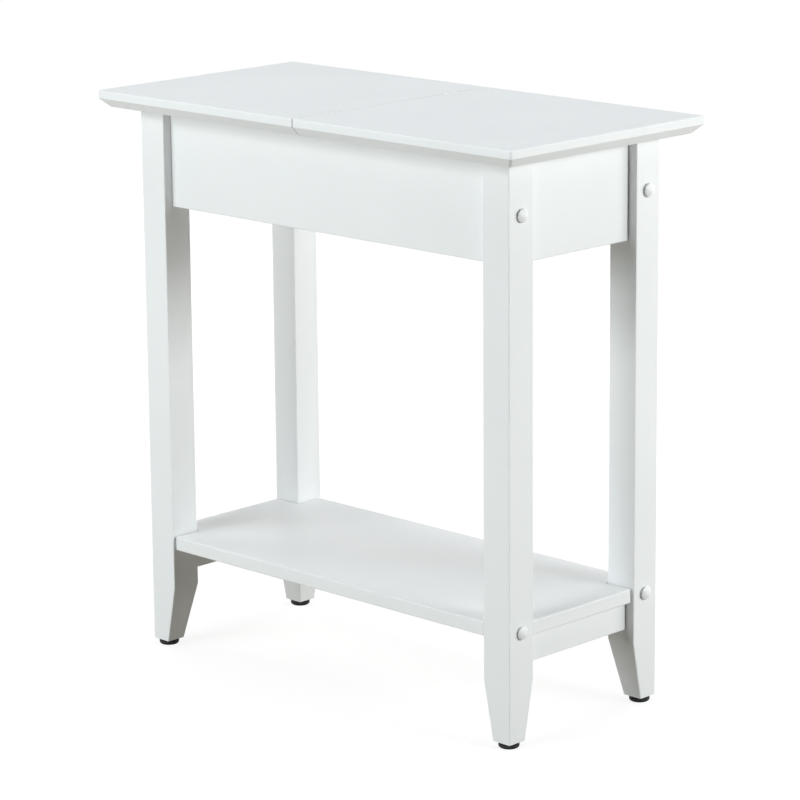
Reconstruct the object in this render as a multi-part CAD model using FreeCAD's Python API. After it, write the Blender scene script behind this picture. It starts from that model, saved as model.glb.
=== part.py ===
import FreeCAD, Part
import os
from FreeCAD import Vector

# Flip-top end table. X runs along the length, Y along the depth, Z up. The origin is on the
# floor under the middle. Front is -Y, right is +X. The right half of the top is the lid.

# Overall sizes
top_length = 590.55
top_depth = 285.75
top_height = 609.6
leg_overhang = 31.75

# Tabletop: a fixed half and a lid, square above, bevelled below
top_thickness = 17.8
edge_height = 8.5
bevel_inset = 9.0
seam_gap = 1.2
top_arris = 1.5
top_corner = 2.5

# Legs, tapered on their two inner faces below the shelf rails
leg_size = 35.0
leg_toe = 23.0
leg_arris = 1.2
taper_drop = 14.0

# Box under the top
apron_thickness = 15.0
apron_recess = 10.4
end_recess = 10.0
panel_arris = 1.0
panel_end_gap = 1.2
apron_height = 104.4

# Floor panel of the compartment, let into grooves
floor_thickness = 6.0
floor_rise = 8.0
groove_depth = 6.0
groove_clearance = 0.2
floor_notch_clearance = 0.5

# Rail under the seam
seam_rail_width = 40.0
seam_rail_height = 18.0

# Shelf and its end rails
shelf_underside = 112.0
shelf_thickness = 15.0
shelf_front_recess = 2.0
shelf_end_recess = 2.4
shelf_notch_clearance = 1.2
shelf_arris = 1.5
shelf_corner = 2.2
rail_height = 30.0
rail_thickness = 15.0

# Levelling feet and their threaded inserts
foot_diameter = 21.5
foot_height = 6.5
foot_flange_height = 2.6
foot_groove = 0.7
foot_round = 3.0
foot_flange_round = 0.5
foot_stem_diameter = 6.0
foot_travel = 8.0
foot_engagement = 8.0
insert_diameter = 10.0
insert_length = 13.0
thread_clearance = 0.05

# Bolts through the legs, their cross nuts and caps
bolt_diameter = 6.0
bolt_head_diameter = 10.0
bolt_head_height = 4.0
bolt_tip = 8.0
bolt_socket = 4.0
bolt_socket_depth = 2.4
hex_sides = 6
counterbore_diameter = 11.0
counterbore_depth = 6.0
upper_bolt_rise = 50.0
nut_diameter = 10.0
nut_length = 11.0
nut_setback = 24.0
cap_diameter = 14.0
cap_seat = 1.2
cap_crown = 3.4
cap_rim = 1.2
cap_round = 1.0
cap_plug_depth = 1.5
fastener_clearance = 0.1

# Dowels
dowel_diameter = 8.0
dowel_length = 25.0
small_dowel_diameter = 6.0
small_dowel_length = 22.0
end_dowel_inset = 18.0
apron_dowel_inset = 34.0
rail_dowel_spacing = 16.0
seam_dowel_spacing = 24.0
dowel_clearance = 0.05
dowel_end_clearance = 0.4

# Cleats that hold the fixed half, and their screws
cleat_size = 18.0
cleat_end_clearance = 2.0
cleat_screw_diameter = 3.5
cleat_screw_head = 7.0
cleat_screw_bite = 10.0
cleat_screw_inset = 20.0
cleat_screw_stagger = 14.0

# Hinges in the seam
hinge_length = 26.0
hinge_inset = 55.0
barrel_diameter = 1.8
pin_diameter = 1.0
pin_clearance = 0.05
axis_lift = 0.05
knuckle_count = 3
knuckle_gap = 0.3
barrel_clearance = 0.2
leaf_thickness = 1.2
leaf_height = 14.0
leaf_clearance = 0.05
hinge_screw_diameter = 3.0
hinge_screw_head = 5.4
hinge_screw_length = 15.0
hinge_screw_spacing = 14.0
hinge_screw_drop = 8.5

# All cuts run this far past the face that they open
overrun = 2.0

# Places that follow from the sizes above
half_length = top_length / 2 - leg_overhang
half_depth = top_depth / 2 - leg_overhang
top_underside = top_height - top_thickness
shelf_top = shelf_underside + shelf_thickness
apron_bottom = top_underside - apron_height
rail_bottom = shelf_underside - rail_height
taper_top = rail_bottom - taper_drop
leg_inner_x = half_length - leg_size
leg_inner_y = half_depth - leg_size
apron_outer_y = half_depth - apron_recess
apron_inner_y = apron_outer_y - apron_thickness
panel_outer_x = half_length - end_recess
panel_inner_x = panel_outer_x - apron_thickness
panel_reach_y = leg_inner_y - panel_end_gap
rail_outer_x = half_length - end_recess
bolt_y = apron_outer_y - apron_thickness / 2
upper_bolt_z = apron_bottom + upper_bolt_rise
lower_bolt_z = shelf_underside + shelf_thickness / 2
nut_x = leg_inner_x - nut_setback
floor_bottom = apron_bottom + floor_rise
foot_stem_length = foot_travel + foot_engagement
foot_x = half_length - leg_toe / 2
foot_y = half_depth - leg_toe / 2
axis_z = top_height + axis_lift
hinge_y = top_depth / 2 - hinge_inset
end_dowel_heights = (apron_bottom + end_dowel_inset, top_underside - end_dowel_inset)
apron_dowel_heights = (apron_bottom + apron_dowel_inset, top_underside - apron_dowel_inset)
rail_dowel_middle = (rail_bottom + shelf_underside) / 2
rail_dowel_heights = (rail_dowel_middle - rail_dowel_spacing / 2, rail_dowel_middle + rail_dowel_spacing / 2)
seam_dowel_z = top_underside - seam_rail_height / 2
cleat_low_x = leg_inner_x - cleat_end_clearance
cleat_high_x = seam_rail_width / 2 + cleat_end_clearance

along_x = Vector(1, 0, 0)
along_y = Vector(0, 1, 0)
along_z = Vector(0, 0, 1)
sides = {"front": -1, "back": 1}
ends = {"left": -1, "right": 1}


def block(x_ends, y_ends, z_ends):
    low = [min(pair) for pair in (x_ends, y_ends, z_ends)]
    high = [max(pair) for pair in (x_ends, y_ends, z_ends)]
    size = [b - a for a, b in zip(low, high)]
    return Part.makeBox(size[0], size[1], size[2], Vector(low[0], low[1], low[2]))


def eased(shape, radius):
    return shape.makeFillet(radius, shape.Edges)


def rod(diameter, start, direction, length):
    return Part.makeCylinder(diameter / 2, length, start, direction)


def turned(points, start, direction):
    """A turned solid from (radius, distance) points, standing on start and pointing along direction."""
    outline = Part.makePolygon([Vector(r, 0, h) for r, h in points + points[:1]])
    solid = Part.Face(outline).revolve(Vector(0, 0, 0), along_z, 360)
    solid.Placement = FreeCAD.Placement(start, FreeCAD.Rotation(along_z, direction))
    return solid


def screw(diameter, head, length, start, direction, spare=0.0):
    """A countersunk screw whose head face is at start; spare widens it into its own hole."""
    shank = diameter / 2 + spare
    rim = head / 2 + spare
    points = [(0, 0), (rim, 0), (shank, rim - shank), (shank, length + spare), (0, length + spare)]
    return turned(points, start, direction)


def hex_socket(start, direction):
    corners = [Vector(bolt_socket / 2, 0, 0)]
    turn = FreeCAD.Rotation(along_z, 360 / hex_sides)
    for _ in range(hex_sides):
        corners.append(turn.multVec(corners[-1]))
    prism = Part.Face(Part.makePolygon(corners)).extrude(along_z * bolt_socket_depth)
    prism.Placement = FreeCAD.Placement(start, FreeCAD.Rotation(along_z, direction))
    return prism


def rounded_square(x_ends, y_ends, z, radius):
    """A closed wire with rounded corners at height z."""
    x0, x1 = min(x_ends), max(x_ends)
    y0, y1 = min(y_ends), max(y_ends)
    half_turn_share = 0.5 ** 0.5
    middle = radius * (1 - half_turn_share)
    edges = []
    marks = [
        ((x0 + radius, y0), (x1 - radius, y0), (x1 - middle, y0 + middle), (x1, y0 + radius)),
        ((x1, y0 + radius), (x1, y1 - radius), (x1 - middle, y1 - middle), (x1 - radius, y1)),
        ((x1 - radius, y1), (x0 + radius, y1), (x0 + middle, y1 - middle), (x0, y1 - radius)),
        ((x0, y1 - radius), (x0, y0 + radius), (x0 + middle, y0 + middle), (x0 + radius, y0)),
    ]
    for start, stop, bend, turn in marks:
        a, b, c, d = [Vector(x, y, z) for x, y in (start, stop, bend, turn)]
        edges.append(Part.LineSegment(a, b).toShape())
        edges.append(Part.Arc(b, c, d).toShape())
    return Part.Wire(edges)


def cut_all(shape, tools):
    return shape.cut(tools) if tools else shape


def save(name, solids):
    shape = solids[0] if len(solids) == 1 else Part.makeCompound(solids)
    shape.exportStep("parts/" + name + ".step")


# Fasteners; each list serves both the pieces and the holes that take them

def bolts(z, x_sign, y_sign, spare=0.0):
    """One bolt along X from a leg's end face, head in its counterbore, tip past the cross nut."""
    inward = along_x * -x_sign
    seat = Vector(x_sign * (half_length - counterbore_depth), y_sign * bolt_y, z)
    reach = half_length - counterbore_depth - nut_x + bolt_tip
    shank = rod(bolt_diameter + 2 * spare, seat, inward, reach + spare)
    if spare:
        bore = rod(counterbore_diameter, seat, inward * -1, counterbore_depth + overrun)
        return shank.fuse(bore)
    head = rod(bolt_head_diameter, seat, inward * -1, bolt_head_height)
    socket_start = seat - inward * (bolt_head_height - bolt_socket_depth)
    return head.fuse(shank).removeSplitter().cut(hex_socket(socket_start, inward * -1))


def nut_place(z, x_sign, y_sign):
    """Middle and axis of a cross nut: along Y in an apron, along Z in the shelf."""
    axis = along_y * -y_sign if z > shelf_top else along_z * -1
    return Vector(x_sign * nut_x, y_sign * bolt_y, z), axis


def cross_nut(z, x_sign, y_sign):
    middle, axis = nut_place(z, x_sign, y_sign)
    nut = rod(nut_diameter, middle - axis * (nut_length / 2), axis, nut_length)
    thread = rod(bolt_diameter + 2 * thread_clearance, middle - along_x * nut_diameter, along_x,
                 2 * nut_diameter)
    return nut.cut(thread)


def nut_hole(z, x_sign, y_sign):
    """Blind hole from the hidden face of the apron or shelf."""
    middle, axis = nut_place(z, x_sign, y_sign)
    start = middle - axis * (nut_length / 2 + fastener_clearance)
    depth = apron_thickness if z > shelf_top else shelf_thickness
    return rod(nut_diameter + 2 * fastener_clearance, start, axis, depth + overrun)


def bolt_cap(z, x_sign, y_sign):
    """Domed cap, standing off the leg on a plug that sits in the counterbore."""
    plug = counterbore_diameter / 2 - fastener_clearance
    rim = cap_diameter / 2
    rise = cap_crown - cap_rim
    ball = (rim ** 2 + rise ** 2) / (2 * rise)
    button = rod(cap_diameter, Vector(0, 0, 0), along_z, cap_crown)
    button = button.common(Part.makeSphere(ball, Vector(0, 0, cap_crown - ball)))
    shoulder = [edge for edge in button.Edges if edge.BoundBox.ZMin > cap_rim / 2 and edge.Closed]
    button = button.makeFillet(cap_round, shoulder)
    button.translate(along_z * cap_seat)
    cap = button.fuse(rod(2 * plug, Vector(0, 0, -cap_plug_depth), along_z, cap_plug_depth + cap_seat))
    place = Vector(x_sign * half_length, y_sign * bolt_y, z)
    cap.Placement = FreeCAD.Placement(place, FreeCAD.Rotation(along_z, along_x * x_sign))
    return cap


def dowel(diameter, length, joint, axis, spare=0.0):
    """A dowel centred on the joint between two pieces; with spare it is their shared hole."""
    reach = length / 2 + (dowel_end_clearance if spare else 0)
    return rod(diameter + 2 * spare, joint - axis * reach, axis, 2 * reach)


def end_panel_dowels(x_sign, spare=0.0):
    x = x_sign * (panel_outer_x - apron_thickness / 2)
    return [dowel(dowel_diameter, dowel_length, Vector(x, y_sign * leg_inner_y, z), along_y, spare)
            for y_sign in sides.values() for z in end_dowel_heights]


def apron_dowels(y_sign, spare=0.0):
    y = y_sign * bolt_y
    return [dowel(dowel_diameter, dowel_length, Vector(x_sign * leg_inner_x, y, z), along_x, spare)
            for x_sign in ends.values() for z in apron_dowel_heights]


def rail_dowels(x_sign, spare=0.0):
    x = x_sign * (rail_outer_x - rail_thickness / 2)
    return [dowel(small_dowel_diameter, small_dowel_length, Vector(x, y_sign * leg_inner_y, z),
                  along_y, spare)
            for y_sign in sides.values() for z in rail_dowel_heights]


def seam_dowels(y_sign, spare=0.0):
    y = y_sign * apron_inner_y
    return [dowel(small_dowel_diameter, small_dowel_length,
                  Vector(x_sign * seam_dowel_spacing / 2, y, seam_dowel_z), along_y, spare)
            for x_sign in ends.values()]


def cleat_screws(y_sign, spare=0.0):
    """Screws along Y through a cleat into its apron."""
    start_y = y_sign * (apron_inner_y - cleat_size)
    z = top_underside - cleat_size / 2
    places = (cleat_low_x - cleat_screw_inset, cleat_high_x + cleat_screw_inset)
    return [screw(cleat_screw_diameter, cleat_screw_head, cleat_size + cleat_screw_bite,
                  Vector(-x, start_y, z), along_y * y_sign, spare) for x in places]


def top_screws(y_sign, spare=0.0):
    """Screws up through a cleat into the fixed half."""
    y = y_sign * (apron_inner_y - cleat_size / 2)
    z = top_underside - cleat_size
    shift = cleat_screw_inset + cleat_screw_stagger
    return [screw(cleat_screw_diameter, cleat_screw_head, cleat_size + cleat_screw_bite,
                  Vector(-x, y, z), along_z, spare) for x in (cleat_low_x - shift, cleat_high_x + shift)]


def hinge_screws(x_sign, spare=0.0):
    """Screws along X through one side's leaves into the meeting face of its half."""
    z = axis_z - hinge_screw_drop
    return [screw(hinge_screw_diameter, hinge_screw_head, hinge_screw_length,
                  Vector(x_sign * seam_gap / 2, y_sign * hinge_y + step * hinge_screw_spacing / 2, z),
                  along_x * x_sign, spare) for y_sign in sides.values() for step in (-1, 1)]


def foot_insert(x_sign, y_sign):
    start = Vector(x_sign * foot_x, y_sign * foot_y, foot_height)
    bore = rod(foot_stem_diameter + 2 * thread_clearance, start - along_z * overrun, along_z,
               insert_length + 2 * overrun)
    return rod(insert_diameter, start, along_z, insert_length).cut(bore)


# Pieces

def leg(x_sign, y_sign):
    """A square leg, its inner faces tapered to the toe, with all its bores."""
    sections = []
    for z, width in ((foot_height, leg_toe), (taper_top, leg_size), (top_underside, leg_size)):
        x_ends = (x_sign * half_length, x_sign * (half_length - width))
        y_ends = (y_sign * half_depth, y_sign * (half_depth - width))
        sections.append(rounded_square(x_ends, y_ends, z, leg_arris))
    body = Part.makeLoft(sections, True, True)
    toe = Vector(x_sign * foot_x, y_sign * foot_y, foot_height - overrun)
    tools = [bolts(z, x_sign, y_sign, fastener_clearance) for z in (upper_bolt_z, lower_bolt_z)]
    tools += end_panel_dowels(x_sign, dowel_clearance) + rail_dowels(x_sign, dowel_clearance)
    tools += apron_dowels(y_sign, dowel_clearance)
    tools.append(rod(insert_diameter + 2 * fastener_clearance, toe, along_z, insert_length + overrun))
    tools.append(rod(foot_stem_diameter + 2 * fastener_clearance, toe, along_z,
                     foot_stem_length + overrun + fastener_clearance))
    return cut_all(body, tools)


def groove_tool(reach_x, reach_y):
    """The floor panel's outline, thickened by its clearance."""
    z_ends = (floor_bottom - groove_clearance, floor_bottom + floor_thickness + groove_clearance)
    return block((-reach_x, reach_x), (-reach_y, reach_y), z_ends)


def apron(y_sign):
    """A long side of the box: bolted to the legs, grooved for the floor."""
    x_ends = (-leg_inner_x, leg_inner_x)
    y_ends = (y_sign * apron_inner_y, y_sign * apron_outer_y)
    body = eased(block(x_ends, y_ends, (apron_bottom, top_underside)), panel_arris)
    tools = [groove_tool(leg_inner_x + overrun, apron_inner_y + groove_depth)]
    for x_sign in ends.values():
        tools.append(bolts(upper_bolt_z, x_sign, y_sign, fastener_clearance))
        tools.append(nut_hole(upper_bolt_z, x_sign, y_sign))
    tools += apron_dowels(y_sign, dowel_clearance) + seam_dowels(y_sign, dowel_clearance)
    tools += cleat_screws(y_sign, fastener_clearance)
    return cut_all(body, tools)


def end_panel(x_sign):
    x_ends = (x_sign * panel_inner_x, x_sign * panel_outer_x)
    body = eased(block(x_ends, (-panel_reach_y, panel_reach_y), (apron_bottom, top_underside)), panel_arris)
    groove = groove_tool(panel_inner_x + groove_depth, leg_inner_y + overrun)
    return cut_all(body, [groove] + end_panel_dowels(x_sign, dowel_clearance))


def compartment_floor():
    """Thin panel in the grooves, notched round the legs."""
    reach_x = panel_inner_x + groove_depth - floor_notch_clearance
    reach_y = apron_inner_y + groove_depth - floor_notch_clearance
    z_ends = (floor_bottom, floor_bottom + floor_thickness)
    panel = block((-reach_x, reach_x), (-reach_y, reach_y), z_ends)
    notches = [block((x_sign * (leg_inner_x - floor_notch_clearance), x_sign * half_length),
                     (y_sign * (leg_inner_y - floor_notch_clearance), y_sign * half_depth),
                     (floor_bottom - overrun, floor_bottom + floor_thickness + overrun))
               for x_sign in ends.values() for y_sign in sides.values()]
    return cut_all(panel, notches)


def seam_rail():
    half = seam_rail_width / 2
    z_ends = (top_underside - seam_rail_height, top_underside)
    body = block((-half, half), (-apron_inner_y, apron_inner_y), z_ends)
    return cut_all(body, seam_dowels(-1, dowel_clearance) + seam_dowels(1, dowel_clearance))


def shelf():
    """Shelf notched round the four legs, with the cross nuts' holes in its underside."""
    reach_x = half_length - shelf_end_recess
    reach_y = half_depth - shelf_front_recess
    z_ends = (shelf_underside, shelf_top)
    notch_x = leg_inner_x - shelf_notch_clearance
    notch_y = leg_inner_y - shelf_notch_clearance
    lengthwise = block((-notch_x, notch_x), (-reach_y, reach_y), z_ends)
    body = lengthwise.fuse(block((-reach_x, reach_x), (-notch_y, notch_y), z_ends)).removeSplitter()
    uprights = [edge for edge in body.Edges if edge.BoundBox.ZLength > shelf_thickness / 2]
    outer = [edge for edge in uprights if not (abs(edge.CenterOfMass.x) < leg_inner_x
                                               and abs(edge.CenterOfMass.y) < leg_inner_y)]
    body = body.makeFillet(shelf_corner, outer)
    flat = [edge for edge in body.Edges if edge.BoundBox.ZLength < shelf_thickness / 2]
    body = body.makeFillet(shelf_arris, flat)
    tools = []
    for x_sign in ends.values():
        for y_sign in sides.values():
            tools.append(bolts(lower_bolt_z, x_sign, y_sign, fastener_clearance))
            tools.append(nut_hole(lower_bolt_z, x_sign, y_sign))
    return cut_all(body, tools)


def shelf_rail(x_sign):
    x_ends = (x_sign * (rail_outer_x - rail_thickness), x_sign * rail_outer_x)
    body = eased(block(x_ends, (-panel_reach_y, panel_reach_y), (rail_bottom, shelf_underside)), panel_arris)
    return cut_all(body, rail_dowels(x_sign, dowel_clearance))


def top_cleat(y_sign):
    """Square strip along an apron that the fixed half is screwed to."""
    y_ends = (y_sign * (apron_inner_y - cleat_size), y_sign * apron_inner_y)
    body = block((-cleat_low_x, -cleat_high_x), y_ends, (top_underside - cleat_size, top_underside))
    return cut_all(body, cleat_screws(y_sign, fastener_clearance) + top_screws(y_sign, fastener_clearance))


def whole_top():
    """The top in one piece: an upright edge, eased above and bevelled below."""
    outlines = []
    for z, inset in ((top_underside, bevel_inset), (top_height - edge_height, 0), (top_height, 0)):
        x, y = top_length / 2 - inset, top_depth / 2 - inset
        outlines.append(rounded_square((-x, x), (-y, y), z, top_corner))
    slab = Part.makeLoft(outlines, True, True)
    rim = [edge for edge in slab.Edges if edge.BoundBox.ZMin > top_height - edge_height / 2]
    return slab.makeFillet(top_arris, rim)


def knuckles(y_sign, own):
    """Knuckle spans of one hinge along Y: first and last on the fixed leaf, every second one on the lid's."""
    start = y_sign * hinge_y - hinge_length / 2
    each = (hinge_length - (knuckle_count - 1) * knuckle_gap) / knuckle_count
    lows = [start + i * (each + knuckle_gap) for i in range(knuckle_count)]
    return [(low, low + each) for i, low in enumerate(lows) if (i % 2 == 1) == (own == "lid")]


def barrel(diameter, span):
    return rod(diameter, Vector(0, span[0], axis_z), along_y, span[1] - span[0])


def hinge_leaf(x_sign, y_sign):
    """A leaf let into the meeting face, with its share of the knuckles round the pin."""
    own, other = ("lid", "fixed") if x_sign > 0 else ("fixed", "lid")
    middle = y_sign * hinge_y
    face = seam_gap / 2
    plate = block((x_sign * face, x_sign * (face + leaf_thickness)),
                  (middle - hinge_length / 2, middle + hinge_length / 2), (axis_z - leaf_height, top_height))
    for low, high in knuckles(y_sign, other):
        room = (low - knuckle_gap, high + knuckle_gap)
        plate = plate.cut(barrel(barrel_diameter + 2 * barrel_clearance, room))
    for span in knuckles(y_sign, own):
        plate = plate.fuse(barrel(barrel_diameter, span))
    bore = barrel(pin_diameter + 2 * pin_clearance, (middle - hinge_length, middle + hinge_length))
    return cut_all(plate, [bore] + hinge_screws(x_sign, fastener_clearance))


def hinge_pin(y_sign):
    middle = y_sign * hinge_y
    return barrel(pin_diameter, (middle - hinge_length / 2, middle + hinge_length / 2))


def half_top(x_sign):
    """One half of the top, recessed at the seam for the hinges."""
    reach = top_length
    half_space = block((x_sign * seam_gap / 2, x_sign * reach), (-reach, reach), (0, 2 * top_height))
    body = whole_top().common(half_space)
    tools = hinge_screws(x_sign, fastener_clearance)
    for y_sign in sides.values():
        middle = y_sign * hinge_y
        half = hinge_length / 2 + leaf_clearance
        tools.append(block((0, x_sign * (seam_gap / 2 + leaf_thickness + leaf_clearance)),
                           (middle - half, middle + half),
                           (axis_z - leaf_height - leaf_clearance, top_height + overrun)))
        tools.append(barrel(barrel_diameter + 2 * barrel_clearance,
                            (middle - half - barrel_clearance, middle + half + barrel_clearance)))
    if x_sign < 0:
        tools += top_screws(-1, fastener_clearance) + top_screws(1, fastener_clearance)
    return cut_all(body, tools)


def foot(x_sign, y_sign):
    """Round glide, rounded below, with a groove under its flange and a threaded stem."""
    place = Vector(x_sign * foot_x, y_sign * foot_y, 0)
    flange_low = foot_height - foot_flange_height
    pad = rod(foot_diameter, place, along_z, flange_low - foot_groove)
    pad = pad.makeFillet(foot_round, [edge for edge in pad.Edges if edge.BoundBox.ZMax < flange_low / 2])
    flange = rod(foot_diameter, place + along_z * flange_low, along_z, foot_height - flange_low)
    rims = [edge for edge in flange.Edges if edge.BoundBox.ZLength < foot_flange_height / 2]
    flange = flange.makeFillet(foot_flange_round, rims)
    neck = rod(foot_diameter - 2 * foot_groove, place + along_z * (flange_low / 2), along_z, foot_height / 2)
    stem = rod(foot_stem_diameter, place + along_z * (foot_height / 2), along_z,
               foot_height / 2 + foot_stem_length)
    return pad.fuse([neck, flange, stem]).removeSplitter()


def build():
    os.makedirs("parts", exist_ok=True)
    corners = [(x_sign, y_sign) for x_sign in ends.values() for y_sign in sides.values()]
    save("fixed_top", [half_top(-1)])
    save("lid", [half_top(1)])
    for side, y_sign in sides.items():
        save(side + "_apron", [apron(y_sign)])
        save(side + "_top_cleat", [top_cleat(y_sign)])
        save(side + "_hinge_fixed_leaf", [hinge_leaf(-1, y_sign)])
        save(side + "_hinge_lid_leaf", [hinge_leaf(1, y_sign)])
        save(side + "_hinge_pin", [hinge_pin(y_sign)])
        for end, x_sign in ends.items():
            save(side + "_" + end + "_leg", [leg(x_sign, y_sign)])
            save(side + "_" + end + "_foot", [foot(x_sign, y_sign)])
    for end, x_sign in ends.items():
        save(end + "_end_panel", [end_panel(x_sign)])
        save(end + "_shelf_rail", [shelf_rail(x_sign)])
    save("compartment_floor", [compartment_floor()])
    save("seam_rail", [seam_rail()])
    save("shelf", [shelf()])
    save("foot_inserts", [foot_insert(x, y) for x, y in corners])
    save("upper_bolts", [bolts(upper_bolt_z, x, y) for x, y in corners])
    save("lower_bolts", [bolts(lower_bolt_z, x, y) for x, y in corners])
    save("apron_cross_nuts", [cross_nut(upper_bolt_z, x, y) for x, y in corners])
    save("shelf_cross_nuts", [cross_nut(lower_bolt_z, x, y) for x, y in corners])
    save("bolt_caps", [bolt_cap(z, x, y) for z in (upper_bolt_z, lower_bolt_z) for x, y in corners])
    save("end_panel_dowels", end_panel_dowels(-1) + end_panel_dowels(1))
    save("apron_dowels", apron_dowels(-1) + apron_dowels(1))
    save("shelf_rail_dowels", rail_dowels(-1) + rail_dowels(1))
    save("seam_rail_dowels", seam_dowels(-1) + seam_dowels(1))
    save("cleat_screws", cleat_screws(-1) + cleat_screws(1))
    save("top_screws", top_screws(-1) + top_screws(1))
    save("fixed_leaf_screws", hinge_screws(-1))
    save("lid_leaf_screws", hinge_screws(1))


build()
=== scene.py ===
from math import ceil, cos, pi, radians, sin

import bmesh
import bpy
from mathutils import Matrix, Vector


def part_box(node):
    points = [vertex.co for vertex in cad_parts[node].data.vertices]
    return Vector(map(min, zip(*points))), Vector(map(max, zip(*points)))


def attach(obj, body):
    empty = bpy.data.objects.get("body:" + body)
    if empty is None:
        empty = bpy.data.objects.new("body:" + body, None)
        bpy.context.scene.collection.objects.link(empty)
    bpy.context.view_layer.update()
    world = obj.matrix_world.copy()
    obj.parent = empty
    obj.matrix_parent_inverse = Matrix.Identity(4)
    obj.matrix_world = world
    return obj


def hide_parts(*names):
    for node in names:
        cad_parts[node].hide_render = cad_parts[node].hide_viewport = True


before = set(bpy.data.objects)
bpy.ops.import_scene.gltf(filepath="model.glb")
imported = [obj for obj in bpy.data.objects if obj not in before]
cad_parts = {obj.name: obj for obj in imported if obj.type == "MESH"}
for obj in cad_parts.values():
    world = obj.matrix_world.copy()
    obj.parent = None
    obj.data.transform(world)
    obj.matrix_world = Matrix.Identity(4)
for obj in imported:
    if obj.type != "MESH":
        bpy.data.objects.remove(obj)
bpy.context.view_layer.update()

# Flip-top end table: white satin lacquer, white caps and hinges, black feet.
# Metres, same frame as the CAD: X length, Y depth, Z up, front is -Y.

scene = bpy.context.scene
millimetre = 0.001
print("frame loaded:", len(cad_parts), "nodes")


# Node helpers

def startMaterial(name):
    material = bpy.data.materials.new(name)
    material.use_nodes = True
    tree = material.node_tree
    return material, tree, tree.nodes["Principled BSDF"]


def patternSpace(tree, stretch):
    # object coordinates, stretched along one axis where a finish has a direction
    place = tree.nodes.new("ShaderNodeTexCoord")
    mapping = tree.nodes.new("ShaderNodeMapping")
    mapping.inputs["Scale"].default_value = stretch
    tree.links.new(place.outputs["Object"], mapping.inputs["Vector"])
    return mapping.outputs["Vector"]


def noise(tree, space, scale, detail, rough):
    cloud = tree.nodes.new("ShaderNodeTexNoise")
    cloud.inputs["Scale"].default_value = scale
    cloud.inputs["Detail"].default_value = detail
    cloud.inputs["Roughness"].default_value = rough
    tree.links.new(space, cloud.inputs["Vector"])
    return cloud.outputs["Fac"]


def tones(tree, value, stops):
    # colour ramp from (position, colour) pairs
    ramp = tree.nodes.new("ShaderNodeValToRGB")
    spare = len(stops) - len(ramp.color_ramp.elements)
    for _ in range(spare):
        ramp.color_ramp.elements.new(0.5)  # each gets its own position below
    for element, (position, colour) in zip(ramp.color_ramp.elements, stops):
        element.position = position
        element.color = (*colour, 1)
    tree.links.new(value, ramp.inputs["Fac"])
    return ramp.outputs["Color"]


noiseBand = (0.3, 0.7)  # most of what a noise gives


def spread(tree, value, low, high):
    # the noise band becomes low to high
    span = tree.nodes.new("ShaderNodeMapRange")
    span.inputs["From Min"].default_value, span.inputs["From Max"].default_value = noiseBand
    span.inputs["To Min"].default_value = low
    span.inputs["To Max"].default_value = high
    tree.links.new(value, span.inputs["Value"])
    return span.outputs["Result"]


def relief(tree, shader, value, depth, strength):
    bump = tree.nodes.new("ShaderNodeBump")
    bump.inputs["Distance"].default_value = depth
    bump.inputs["Strength"].default_value = strength
    tree.links.new(value, bump.inputs["Height"])
    tree.links.new(bump.outputs["Normal"], shader.inputs["Normal"])


def glossAndGrain(tree, shader, space, look):
    sheen = noise(tree, space, *look["sheen"])
    tree.links.new(spread(tree, sheen, *look["gloss"]), shader.inputs["Roughness"])
    relief(tree, shader, noise(tree, space, *look["grain"]), *look["relief"])


def coat(name, look, stretch=(1, 1, 1)):
    # a finish whose colour, gloss and relief each follow a noise
    material, tree, shader = startMaterial(name)
    space = patternSpace(tree, stretch)
    colour = tones(tree, noise(tree, space, *look["cloud"]), look["tones"])
    tree.links.new(colour, shader.inputs["Base Color"])
    glossAndGrain(tree, shader, space, look)
    return material, shader


# Finishes: cloud, sheen and grain are noises (scale, detail, roughness), relief is (depth, strength)

# sprayed satin white: slight cloudiness, orange peel of a few millimetres, uneven gloss
lacquer = {"cloud": (7, 3, 0.5), "tones": [(0.35, (0.828, 0.839, 0.849)), (0.65, (0.85, 0.861, 0.871))],
           "sheen": (55, 4, 0.6), "gloss": (0.36, 0.46), "grain": (420, 2, 0.45), "relief": (0.00005, 0.25)}


def satinLacquer():
    return coat("satin_lacquer", lacquer)[0]


# thin board with a matt white face, its fibres just showing
board = {"cloud": (240, 5, 0.65), "tones": [(0.3, (0.77, 0.785, 0.775)), (0.6, (0.83, 0.845, 0.835))],
         "sheen": (240, 5, 0.65), "gloss": (0.5, 0.68), "grain": (240, 5, 0.65), "relief": (0.00012, 0.3),
         "stretch": (1, 2.5, 1)}


def faceBoard():
    return coat("matt_board", board, board["stretch"])[0]


# bare dowels, their grain drawn out along the length
beech = {"cloud": (900, 6, 0.6),
         "tones": [(0.3, (0.4, 0.25, 0.13)), (0.5, (0.52, 0.34, 0.19)), (0.68, (0.62, 0.43, 0.26))],
         "sheen": (1500, 3, 0.5), "gloss": (0.55, 0.75), "grain": (1500, 3, 0.5), "relief": (0.0001, 0.4),
         "lengthShare": 0.06}


def bareBeech(name, along):
    stretch = [1, 1, 1]
    stretch[along] = beech["lengthShare"]
    return coat(name, beech, stretch)[0]


# hinge leaves: baked white powder, finely pebbled
powder = {"cloud": (1400, 2, 0.5), "tones": [(0.3, (0.73, 0.74, 0.742)), (0.7, (0.76, 0.77, 0.772))],
          "sheen": (1400, 2, 0.5), "gloss": (0.48, 0.6), "grain": (1400, 2, 0.5), "relief": (0.00006, 0.35)}


def powderCoat():
    return coat("powder_coat", powder)[0]


# bright zinc with faint spangle and a warm cast in places
zinc = {"cloud": (700, 4, 0.6),
        "tones": [(0.3, (0.47, 0.48, 0.5)), (0.55, (0.66, 0.67, 0.68)), (0.75, (0.6, 0.57, 0.5))],
        "sheen": (700, 4, 0.6), "gloss": (0.22, 0.42), "grain": (700, 4, 0.6), "relief": (0.00004, 0.3)}


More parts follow.
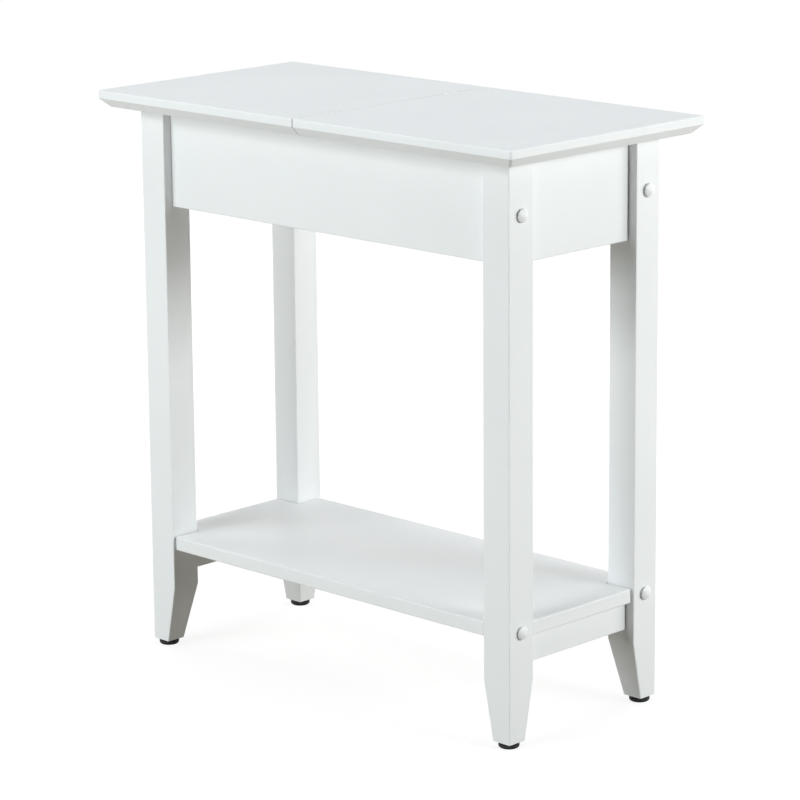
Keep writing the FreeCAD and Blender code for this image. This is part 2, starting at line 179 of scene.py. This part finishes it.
def zincPlate():
    material, shader = coat("zinc_plate", zinc)
    shader.inputs["Metallic"].default_value = 1
    return material


# moulded satin caps with slight flow marks
button = {"cloud": (160, 3, 0.5), "tones": [(0.3, (0.79, 0.8, 0.803)), (0.7, (0.815, 0.825, 0.828))],
          "sheen": (160, 3, 0.5), "gloss": (0.34, 0.46), "grain": (160, 3, 0.5), "relief": (0.00008, 0.15)}


def cappedWhite():
    return coat("gloss_cap", button)[0]


# spark-textured black plastic with a painted highlight: a grey band along its shoulder; the band is in shares
# of the pad's height
glide = {"cloud": (160, 5, 0.65), "tones": [(0.45, (0.006, 0.006, 0.0065)), (0.75, (0.016, 0.016, 0.016))],
         "sheen": (160, 5, 0.65), "gloss": (0.34, 0.52), "grain": (1700, 2, 0.5), "relief": (0.00006, 0.4),
         "specular": 0.14, "padHeight": 0.0065,
         "paintedHighlight": (0.06, 0.06, 0.06), "paintedHighlightSpan": (0.43, 0.47, 0.52, 0.56)}


# painted highlight: a grey band around the pad at the shoulder's height, added to the black
def paintedShoulderHighlight(tree, space):
    parts = tree.nodes.new("ShaderNodeSeparateXYZ")
    tree.links.new(space, parts.inputs["Vector"])
    level = tree.nodes.new("ShaderNodeMapRange")
    level.inputs["From Max"].default_value = glide["padHeight"]
    tree.links.new(parts.outputs["Z"], level.inputs["Value"])
    beyondHighlight = (0, 0, 0)
    bandTones = (beyondHighlight, glide["paintedHighlight"], glide["paintedHighlight"], beyondHighlight)
    return tones(tree, level.outputs["Result"], list(zip(glide["paintedHighlightSpan"], bandTones)))


def mouldedBlack():
    material, tree, shader = startMaterial("moulded_black")
    shader.inputs["Specular IOR Level"].default_value = glide["specular"]
    space = patternSpace(tree, (1, 1, 1))
    black = tones(tree, noise(tree, space, *glide["cloud"]), glide["tones"])
    # the black, with the painted highlight band at the shoulder added on top
    both = tree.nodes.new("ShaderNodeMix")
    both.data_type = "RGBA"
    both.blend_type = "ADD"
    both.inputs["Factor"].default_value = 1
    tree.links.new(black, both.inputs["A"])
    tree.links.new(paintedShoulderHighlight(tree, space), both.inputs["B"])
    tree.links.new(both.outputs["Result"], shader.inputs["Base Color"])
    glossAndGrain(tree, shader, space, glide)
    return material


finishes = {
    "painted_wood": satinLacquer(),
    "floor_board": faceBoard(),
    "dowel_along_x": bareBeech("beech_along_x", 0),
    "dowel_along_y": bareBeech("beech_along_y", 1),
    "hinge_white": powderCoat(),
    "fastener_steel": zincPlate(),
    "cap_plastic": cappedWhite(),
    "foot_plastic": mouldedBlack(),
}


def finishOf(node):
    if node.endswith("foot"):
        return "foot_plastic"
    if node == "bolt_caps":
        return "cap_plastic"
    if node == "compartment_floor":
        return "floor_board"
    if node.endswith("dowels"):
        return "dowel_along_x" if node == "apron_dowels" else "dowel_along_y"
    if node.endswith("leaf"):
        return "hinge_white"
    if node.endswith(("bolts", "nuts", "screws", "inserts", "pin")):
        return "fastener_steel"
    return "painted_wood"


for name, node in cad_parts.items():
    node.data.materials.clear()
    node.data.materials.append(finishes[finishOf(name)])
print("finishes:", len(finishes), "materials on", len(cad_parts), "nodes")


# Modelling helpers

smoothAngle = radians(32)
weld = 1e-6  # points nearer than this are one


def selectOnly(piece):
    bpy.ops.object.select_all(action="DESELECT")
    piece.select_set(True)
    bpy.context.view_layer.objects.active = piece


def faceOut(piece):
    # recalculated in edit mode; turned over if the volume still comes out negative
    selectOnly(piece)
    bpy.ops.object.mode_set(mode="EDIT")
    bpy.ops.mesh.select_all(action="SELECT")
    bpy.ops.mesh.normals_make_consistent(inside=False)
    shell = bmesh.from_edit_mesh(piece.data)
    if shell.calc_volume(signed=True) < 0:
        bpy.ops.mesh.flip_normals()
    bpy.ops.object.mode_set(mode="OBJECT")


def smooth(piece):
    selectOnly(piece)
    bpy.ops.object.shade_smooth_by_angle(angle=smoothAngle)


def turnedPiece(name, rings, sides):
    # a disc carried through (radius, height) rings, closed at both ends
    bpy.ops.object.select_all(action="DESELECT")
    firstRadius, firstHeight = rings[0]
    bpy.ops.mesh.primitive_circle_add(vertices=sides, radius=firstRadius, fill_type="NGON")
    piece = bpy.context.object
    piece.name = name
    bpy.ops.object.mode_set(mode="EDIT")
    bpy.ops.mesh.select_all(action="SELECT")
    bpy.ops.transform.translate(value=(0, 0, firstHeight))
    for (radius, height), (nextRadius, nextHeight) in zip(rings, rings[1:]):
        bpy.ops.mesh.extrude_region_move(TRANSFORM_OT_translate={"value": (0, 0, nextHeight - height)})
        share = nextRadius / radius
        bpy.ops.transform.resize(value=(share, share, 1), center_override=(0, 0, nextHeight))
    bpy.ops.object.mode_set(mode="OBJECT")
    faceOut(piece)
    return piece


def blockTool(size, middle, endShare):
    # a block for cutting, its far end drawn in to endShare
    bpy.ops.object.select_all(action="DESELECT")
    bpy.ops.mesh.primitive_cube_add(size=1)
    tool = bpy.context.object
    for face in tool.data.polygons:
        face.select = face.normal.z > 0.5
    bpy.ops.object.mode_set(mode="EDIT")
    bpy.ops.mesh.select_mode(type="FACE")
    bpy.ops.transform.resize(value=(endShare, endShare, 1), center_override=(0, 0, 0))
    bpy.ops.mesh.select_all(action="SELECT")
    bpy.ops.transform.resize(value=size, center_override=(0, 0, 0))
    bpy.ops.transform.translate(value=middle)
    bpy.ops.mesh.select_mode(type="VERT")
    bpy.ops.object.mode_set(mode="OBJECT")
    return tool


def combine(piece, tool, operation):
    cut = piece.modifiers.new("combine", "BOOLEAN")
    cut.operation = operation
    cut.solver = "MANIFOLD"
    cut.object = tool
    selectOnly(piece)
    bpy.ops.object.modifier_apply(modifier=cut.name)
    bpy.data.objects.remove(tool)


def arc(middle, radius, start, stop, steps):
    # (radius, height) points of an arc; angles in degrees from straight down
    angles = [radians(start + (stop - start) * i / steps) for i in range(steps + 1)]
    return [(middle[0] + radius * sin(a), middle[1] - radius * cos(a)) for a in angles]


def solidBoxes(node):
    # lowest and highest corner of each separate solid in a node
    loose = bmesh.new()
    loose.from_mesh(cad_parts[node].data)
    bmesh.ops.remove_doubles(loose, verts=loose.verts, dist=weld)
    loose.verts.index_update()
    seen = set()
    boxes = []
    for first in loose.verts:
        if first.index in seen:
            continue
        seen.add(first.index)
        waiting = [first]
        points = []
        while waiting:
            vert = waiting.pop()
            points.append(vert.co.copy())
            for edge in vert.link_edges:
                other = edge.other_vert(vert)
                if other.index not in seen:
                    seen.add(other.index)
                    waiting.append(other)
        low = Vector([min(point[i] for point in points) for i in range(3)])
        high = Vector([max(point[i] for point in points) for i in range(3)])
        boxes.append((low, high))
    loose.free()
    return boxes


def copyTo(model, place, toward):
    # a copy with its own mesh, its +Z turned to point along toward
    copy = model.copy()
    copy.data = model.data.copy()
    scene.collection.objects.link(copy)
    copy.location = place
    copy.rotation_euler = Vector((0, 0, 1)).rotation_difference(toward).to_euler()
    return copy


def settle(copies, name):
    # copies joined into one object that sits at the origin
    bpy.ops.object.select_all(action="DESELECT")
    for copy in copies:
        copy.select_set(True)
    bpy.context.view_layer.objects.active = copies[0]
    if len(copies) > 1:
        bpy.ops.object.join()
    piece = bpy.context.object
    piece.name = name
    bpy.ops.object.transform_apply(location=True, rotation=True, scale=True)
    return piece


def standIn(piece, node, body, slot):
    piece.data.materials.clear()
    piece.data.materials.append(finishes[slot])
    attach(piece, body)
    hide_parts(node)


# Feet: a cupped pad, a shoulder groove, a flange, and a threaded stem

# lengths in millimetres
footShape = {"sides": 64, "flangeShare": 0.4, "groove": 0.75, "cupShare": 0.43, "cupDepth": 1.0,
             "cupLip": 0.5, "bottomRound": 2.9, "bottomSteps": 8, "shoulder": 0.3, "rim": 0.4, "rimSteps": 4,
             "sink": 1.0}
thread = {"crest": 3.0, "root": 2.45, "pitch": 1.0, "flatShare": 0.125, "steps": 28, "spareTurns": 2,
          "weldShare": 0.02}


def footRings(radius, height):
    mm = millimetre
    flangeLow = height * (1 - footShape["flangeShare"])
    padTop = flangeLow - footShape["groove"] * mm
    roundRadius = footShape["bottomRound"] * mm
    neck = radius - footShape["groove"] * mm
    shoulder = footShape["shoulder"] * mm
    rim = footShape["rim"] * mm
    cup = radius * footShape["cupShare"]
    lip = footShape["cupLip"] * mm
    rings = [(cup, footShape["cupDepth"] * mm), (cup + lip, lip), (cup + 2 * lip, 0)]
    rings += arc((radius - roundRadius, roundRadius), roundRadius, 0, 90, footShape["bottomSteps"])
    rings += [(radius, padTop - shoulder), (radius - shoulder, padTop), (neck, padTop)]
    rings += [(neck, flangeLow), (radius - shoulder, flangeLow), (radius, flangeLow + shoulder)]
    rings += arc((radius - rim, height - rim), rim, 90, 180, footShape["rimSteps"])
    return rings + [(thread["crest"] * 2 * mm, height)]


def threadedStem(low, high):
    # one pitch of the outline drawn by extruding a point, wound up the stem and cut square
    mm = millimetre
    pitch = thread["pitch"] * mm
    depth = (thread["crest"] - thread["root"]) * mm
    flat = pitch * thread["flatShare"]
    flank = pitch / 2 - flat
    bpy.ops.object.select_all(action="DESELECT")
    bpy.ops.mesh.primitive_plane_add(size=pitch)
    stem = bpy.context.object
    bpy.ops.object.mode_set(mode="EDIT")
    bpy.ops.mesh.select_all(action="SELECT")
    bpy.ops.mesh.merge(type="CENTER")
    bpy.ops.transform.translate(value=(thread["root"] * mm, 0, low - thread["spareTurns"] * pitch))
    for out, up in ((0, flat), (depth, flank), (0, flat), (-depth, flank)):
        bpy.ops.mesh.extrude_region_move(TRANSFORM_OT_translate={"value": (out, 0, up)})
    bpy.ops.object.mode_set(mode="OBJECT")
    wind = stem.modifiers.new("wind", "SCREW")
    wind.screw_offset = pitch
    wind.iterations = ceil((high - low) / pitch) + 2 * thread["spareTurns"]
    wind.steps = wind.render_steps = thread["steps"]
    bpy.ops.object.modifier_apply(modifier=wind.name)
    bpy.ops.object.mode_set(mode="EDIT")
    bpy.ops.mesh.select_all(action="SELECT")
    near = flat * thread["weldShare"]
    bpy.ops.mesh.remove_doubles(threshold=near)
    for height, below in ((low, True), (high, False)):
        bpy.ops.mesh.select_all(action="SELECT")
        bpy.ops.mesh.bisect(plane_co=(0, 0, height), plane_no=(0, 0, 1), use_fill=True,
                            clear_inner=below, clear_outer=not below, threshold=near)
    bpy.ops.object.mode_set(mode="OBJECT")
    faceOut(stem)
    return stem


def makeFeet():
    feet = [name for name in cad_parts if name.endswith("_foot")]
    low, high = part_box(feet[0])
    padHeight = glide["padHeight"]
    model = turnedPiece("foot_model", footRings((high.x - low.x) / 2, padHeight), footShape["sides"])
    stem = threadedStem(padHeight - footShape["sink"] * millimetre, high.z)
    combine(model, stem, "UNION")
    smooth(model)
    for node in feet:
        low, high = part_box(node)
        place = Vector(((low.x + high.x) / 2, (low.y + high.y) / 2, 0))
        piece = settle([copyTo(model, place, Vector((0, 0, 1)))], node + "_glide")
        standIn(piece, node, node, "foot_plastic")
    bpy.data.objects.remove(model)
    return len(feet)


print("feet modelled:", makeFeet())


# Screws: countersunk, with a cross recess

screwShape = {"sides": 40, "shankShare": 0.52, "faceShare": 0.94, "rimShare": 0.03, "tipShare": 0.3,
              "pointShare": 0.1, "recessShare": 0.6, "wingShare": 0.16, "depthShare": 0.3, "floorShare": 0.45}


def crossScrew(head, length):
    # head face at the origin, pointing along +Z
    rim = head / 2
    shank = rim * screwShape["shankShare"]
    edge = head * screwShape["rimShare"]
    tip = length - head * screwShape["tipShare"]
    rings = [(rim * screwShape["faceShare"], 0), (rim, edge), (shank, rim - shank + edge), (shank, tip),
             (shank * screwShape["pointShare"], length)]
    screw = turnedPiece("screw_model", rings, screwShape["sides"])
    depth = head * screwShape["depthShare"]
    across = head * screwShape["recessShare"]
    wing = head * screwShape["wingShare"]
    for size in ((across, wing, 2 * depth), (wing, across, 2 * depth)):
        combine(screw, blockTool(size, (0, 0, 0), screwShape["floorShare"]), "DIFFERENCE")
    smooth(screw)
    return screw


# Cross nuts: barrels with a turning slot and a bore for the bolt

nutShape = {"sides": 48, "edgeShare": 0.06, "slotShare": 0.14, "slotDepthShare": 0.13, "bore": 6.1}


def slottedNut(width, length):
    # slotted end at the origin, pointing along +Z, bored along X
    radius = width / 2
    edge = width * nutShape["edgeShare"]
    rings = [(radius - edge, 0), (radius, edge), (radius, length - edge), (radius - edge, length)]
    nut = turnedPiece("nut_model", rings, nutShape["sides"])
    bore = nutShape["bore"] * millimetre / 2
    through = turnedPiece("bore_tool", [(bore, -width), (bore, 0), (bore, width)], nutShape["sides"])
    through.rotation_euler = (0, pi / 2, 0)
    through.location = (0, 0, length / 2)
    combine(nut, settle([through], "bore_tool"), "DIFFERENCE")
    slot = (2 * width, width * nutShape["slotShare"], 2 * width * nutShape["slotDepthShare"])
    combine(nut, blockTool(slot, (0, 0, 0), 1), "DIFFERENCE")
    smooth(nut)
    return nut


# each solid's outer end is the one nearer the middle of the table, or the floor
hardware = {
    "fixed_leaf_screws": {"model": crossScrew, "body": "frame"},
    "lid_leaf_screws": {"model": crossScrew, "body": "lid"},
    "cleat_screws": {"model": crossScrew, "body": "frame"},
    "top_screws": {"model": crossScrew, "body": "frame"},
    "apron_cross_nuts": {"model": slottedNut, "body": "frame"},
    "shelf_cross_nuts": {"model": slottedNut, "body": "frame"},
}


def fitHardware(node, kind):
    boxes = solidBoxes(node)
    copies = []
    model = None
    for low, high in boxes:
        span = high - low
        along = max(range(3), key=lambda i: span[i])
        if model is None:
            model = kind["model"](min(span), span[along])
        near, far = sorted((low[along], high[along]), key=abs)
        place = (low + high) / 2
        place[along] = near
        toward = Vector((0, 0, 0))
        toward[along] = 1 if far > near else -1
        copies.append(copyTo(model, place, toward))
    piece = settle(copies, node + "_turned")
    standIn(piece, node, kind["body"], "fastener_steel")
    bpy.data.objects.remove(model)
    return len(boxes)


for node, kind in hardware.items():
    print(node, "modelled:", fitHardware(node, kind))


# Camera at the photo's angle; the picture is taken as square

view = {"place": (2.4639, -2.5055, 1.1441), "yaw": 44.441, "pitch": -13.566, "roll": -0.511,
        "lens": 155.75, "sensor": 36}


def placeCamera():
    data = bpy.data.cameras.new("photo_camera")
    data.sensor_fit = "HORIZONTAL"
    data.sensor_width = view["sensor"]
    data.lens = view["lens"]
    camera = bpy.data.objects.new("photo_camera", data)
    scene.collection.objects.link(camera)
    turn = Matrix.Rotation(radians(view["yaw"]), 4, "Z")
    tilt = Matrix.Rotation(radians(90 + view["pitch"]), 4, "X")
    roll = Matrix.Rotation(radians(view["roll"]), 4, "Z")
    camera.matrix_world = Matrix.Translation(view["place"]) @ turn @ tilt @ roll
    scene.camera = camera


placeCamera()
print("camera placed")


# Studio: soft panels on every side, the strong ones at the front and the right, and a pale floor

panels = {
    "front_panel": {"place": (-0.4, -3.5, 1.1), "size": (1.6, 0.9), "watts": 62, "colour": (0.95, 1, 1.01)},
    "high_panel": {"place": (-1.3, -2.9, 2.0), "size": (1.6, 0.9), "watts": 43, "colour": (0.95, 1, 1.01)},
    "right_panel": {"place": (3.2, 0.9, 1.2), "size": (1.4, 0.8), "watts": 70, "colour": (0.95, 1, 1.01)},
    "corner_panel": {"place": (1.6, 1.6, 0.8), "size": (1, 1), "watts": 12, "colour": (0.99, 0.98, 0.95)},
    "back_panel": {"place": (0, 2.3, 0.9), "size": (1.4, 1.2), "watts": 26, "colour": (0.99, 0.97, 0.93)},
    "left_panel": {"place": (-2.3, 0, 0.9), "size": (1.4, 1.2), "watts": 17, "colour": (0.99, 0.97, 0.93)},
    "top_panel": {"place": (0, 0, 2.6), "size": (1.6, 1.6), "watts": 18.5, "colour": (0.94, 1, 1.03)},
}
room = {"aim": (0, 0, 0.3), "warm": (1, 0.965, 0.9), "ambient": 0.005, "white": 1}
ground = {"size": 40, "colour": (0.3, 0.275, 0.225), "roughness": 0.9, "glow": 0.85, "shade": 0.2,
          "reach": 2.6, "fade": (0.3, 0.75)}


def hangPanels():
    for name, panel in panels.items():
        data = bpy.data.lights.new(name, "AREA")
        data.shape = "RECTANGLE"
        data.size, data.size_y = panel["size"]
        data.energy = panel["watts"]
        data.color = panel["colour"]
        lamp = bpy.data.objects.new(name, data)
        scene.collection.objects.link(lamp)
        lamp.location = panel["place"]
        toward = Vector(room["aim"]) - Vector(panel["place"])
        lamp.rotation_euler = toward.to_track_quat("-Z", "Y").to_euler()
        lamp.visible_camera = False


def seenDirectly(tree):
    # 1 for rays that show the backdrop: camera, glossy and transmission
    path = tree.nodes.new("ShaderNodeLightPath")
    value = path.outputs["Is Camera Ray"]
    for ray in ("Is Glossy Ray", "Is Transmission Ray"):
        most = tree.nodes.new("ShaderNodeMath")
        most.operation = "MAXIMUM"
        tree.links.new(value, most.inputs[0])
        tree.links.new(path.outputs[ray], most.inputs[1])
        value = most.outputs["Value"]
    return value


def lightRoom():
    world = bpy.data.worlds.new("studio")
    world.use_nodes = True
    scene.world = world
    tree = world.node_tree
    shown = tree.nodes["Background"]
    shown.inputs["Color"].default_value = (1, 1, 1, 1)
    shown.inputs["Strength"].default_value = room["white"]
    felt = tree.nodes.new("ShaderNodeBackground")
    felt.inputs["Color"].default_value = (*room["warm"], 1)
    felt.inputs["Strength"].default_value = room["ambient"]
    mix = tree.nodes.new("ShaderNodeMixShader")
    tree.links.new(seenDirectly(tree), mix.inputs["Fac"])
    tree.links.new(felt.outputs["Background"], mix.inputs[1])
    tree.links.new(shown.outputs["Background"], mix.inputs[2])
    tree.links.new(mix.outputs["Shader"], tree.nodes["World Output"].inputs["Surface"])


def whiteAway(tree):
    # the floor's own white: a little under 1 by the table, so that its shadow shows, and 1 further out
    share = 1 / ground["reach"]
    bowl = tree.nodes.new("ShaderNodeTexGradient")
    bowl.gradient_type = "SPHERICAL"
    tree.links.new(patternSpace(tree, (share, share, share)), bowl.inputs["Vector"])
    fade = tree.nodes.new("ShaderNodeMapRange")
    fade.inputs["From Min"].default_value, fade.inputs["From Max"].default_value = ground["fade"]
    fade.inputs["To Min"].default_value = room["white"]
    fade.inputs["To Max"].default_value = ground["glow"]
    tree.links.new(bowl.outputs["Fac"], fade.inputs["Value"])
    return fade.outputs["Result"]


def layGround():
    bpy.ops.object.select_all(action="DESELECT")
    bpy.ops.mesh.primitive_plane_add(size=ground["size"], location=(0, 0, 0))
    floor = bpy.context.object
    floor.name = "studio_floor"
    material, tree, shader = startMaterial("pale_floor")
    shader.inputs["Base Color"].default_value = (*ground["colour"], 1)
    shader.inputs["Roughness"].default_value = ground["roughness"]
    shader.inputs["Specular IOR Level"].default_value = 0
    # seen directly it is mostly its own white, with a share of the light and the shadow on it
    pale = tree.nodes.new("ShaderNodeEmission")
    tree.links.new(whiteAway(tree), pale.inputs["Strength"])
    lit = tree.nodes.new("ShaderNodeBsdfDiffuse")
    lit.inputs["Color"].default_value = (ground["shade"], ground["shade"], ground["shade"], 1)
    both = tree.nodes.new("ShaderNodeAddShader")
    tree.links.new(pale.outputs["Emission"], both.inputs[0])
    tree.links.new(lit.outputs["BSDF"], both.inputs[1])
    mix = tree.nodes.new("ShaderNodeMixShader")
    tree.links.new(seenDirectly(tree), mix.inputs["Fac"])
    tree.links.new(shader.outputs["BSDF"], mix.inputs[1])
    tree.links.new(both.outputs["Shader"], mix.inputs[2])
    tree.links.new(mix.outputs["Shader"], tree.nodes["Material Output"].inputs["Surface"])
    floor.data.materials.append(material)


hangPanels()
lightRoom()
layGround()
scene.view_settings.view_transform = "Standard"
print("studio lit by", len(panels), "panels")


print("scene dressed")
